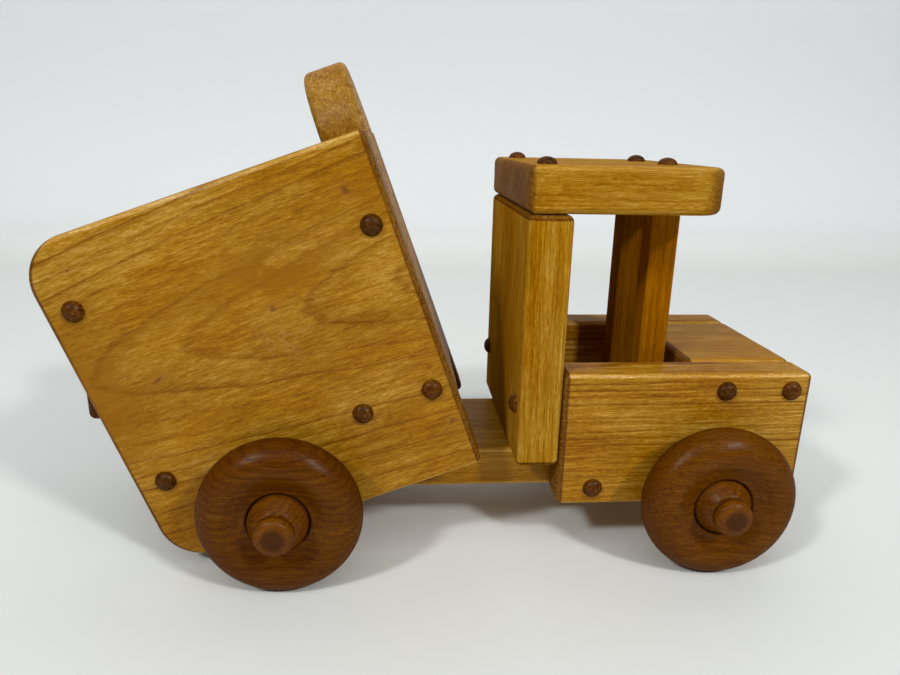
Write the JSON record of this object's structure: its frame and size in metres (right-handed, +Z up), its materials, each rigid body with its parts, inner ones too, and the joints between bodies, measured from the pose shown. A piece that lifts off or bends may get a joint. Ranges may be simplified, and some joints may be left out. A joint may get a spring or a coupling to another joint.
{
  "type": "toy dump truck",
  "caption": "Wooden toy dump truck: pegged cab and chassis, tipping bed with an arched front board and a swinging tailgate, and turned wheels on axle pegs.",
  "frame": {"origin": "centre of the bounding box's base, on the table", "axes": "+X forward along the truck, +Y to its left, +Z up"},
  "size_m": [0.3242, 0.1764, 0.2145],
  "materials": {
    "light_wood": "satin oil, yellow-orange light hardwood",
    "dark_wood": "satin oil, reddish-brown hardwood"
  },
  "bodies": {
    "chassis": {"chassis_board": "light_wood", "hood_side_right": "light_wood", "hood_side_left": "light_wood", "hood_top_board": "light_wood", "cab_back_panel": "light_wood", "cab_roof": "light_wood", "windshield_post_right": "light_wood", "windshield_post_left": "light_wood", "hood_peg_right_1": "dark_wood", "hood_peg_right_2": "dark_wood", "hood_peg_right_3": "dark_wood", "hood_peg_left_1": "dark_wood", "hood_peg_left_2": "dark_wood", "hood_peg_left_3": "dark_wood", "back_panel_peg_right": "dark_wood", "back_panel_peg_left": "dark_wood", "roof_peg_back_right": "dark_wood", "roof_peg_back_left": "dark_wood", "roof_peg_front_right": "dark_wood", "roof_peg_front_left": "dark_wood", "axle_peg_rear_right": "dark_wood", "axle_peg_rear_left": "dark_wood", "axle_peg_front_right": "dark_wood", "axle_peg_front_left": "dark_wood"},
    "bed": {"bed_side_right": "light_wood", "bed_side_left": "light_wood", "bed_floor": "light_wood", "bed_front_panel": "light_wood", "bed_peg_right_1": "dark_wood", "bed_peg_right_2": "dark_wood", "bed_peg_right_3": "dark_wood", "bed_peg_right_4": "dark_wood", "bed_peg_left_1": "dark_wood", "bed_peg_left_2": "dark_wood", "bed_peg_left_3": "dark_wood", "bed_peg_left_4": "dark_wood", "tailgate_pivot_peg_right": "dark_wood", "tailgate_pivot_peg_left": "dark_wood"},
    "tailgate": {"tailgate": "dark_wood"},
    "wheel_rear_right": {"wheel_rear_right": "dark_wood", "hub_washer_rear_right": "dark_wood"},
    "wheel_rear_left": {"wheel_rear_left": "dark_wood", "hub_washer_rear_left": "dark_wood"},
    "wheel_front_right": {"wheel_front_right": "dark_wood", "hub_washer_front_right": "dark_wood"},
    "wheel_front_left": {"wheel_front_left": "dark_wood", "hub_washer_front_left": "dark_wood"}
  },
  "joints": [
    {"name": "bed_dump", "type": "hinge", "parent": "chassis", "child": "bed", "pos_m": [-0.06889, 0, 0.034], "axis": [0, 1, 0], "range_deg": [0, 19.7]},
    {"name": "tailgate_swing", "type": "hinge", "parent": "bed", "child": "tailgate", "pos_m": [-0.14643, 0, 0.11649], "axis": [0, 1, 0], "range_deg": [-90, 90]},
    {"name": "wheel_rear_right_spin", "type": "hinge", "parent": "chassis", "child": "wheel_rear_right", "pos_m": [-0.06889, -0.0688, 0.034], "axis": [0, 1, 0], "continuous": true},
    {"name": "wheel_rear_left_spin", "type": "hinge", "parent": "chassis", "child": "wheel_rear_left", "pos_m": [-0.06889, 0.0688, 0.034], "axis": [0, 1, 0], "continuous": true},
    {"name": "wheel_front_right_spin", "type": "hinge", "parent": "chassis", "child": "wheel_front_right", "pos_m": [0.11961, -0.0647, 0.034], "axis": [0, 1, 0], "continuous": true},
    {"name": "wheel_front_left_spin", "type": "hinge", "parent": "chassis", "child": "wheel_front_left", "pos_m": [0.11961, 0.0647, 0.034], "axis": [0, 1, 0], "continuous": true}
  ]
}
